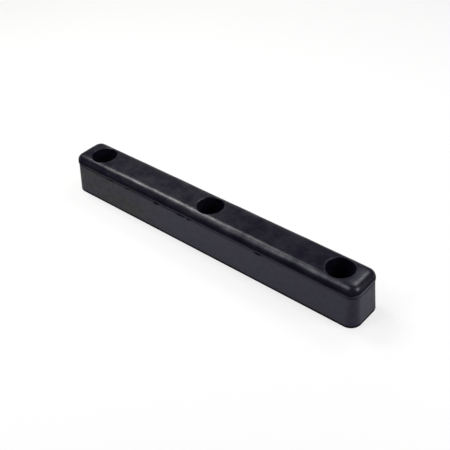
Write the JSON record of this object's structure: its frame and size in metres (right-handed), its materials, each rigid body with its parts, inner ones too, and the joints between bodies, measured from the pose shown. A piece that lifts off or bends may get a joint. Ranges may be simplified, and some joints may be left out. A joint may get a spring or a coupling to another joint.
{
  "type": "dock bumper",
  "caption": "Long moulded rubber bar with a flat mounting face, a rounded strike face and counterbored bolt holes, bolted on to take the knocks of vehicles and loads.",
  "frame": {"origin": "middle of the flat mounting face, on the middle bolt hole's axis", "axes": "+X along the bar, +Y across it, +Z from the mounting face to the strike face"},
  "size_m": [0.4568, 0.0538, 0.056],
  "materials": {
    "rubber": "satin black moulded rubber with a soft sheen"
  },
  "bodies": {
    "root": {"bumper": "rubber"}
  },
  "joints": []
}
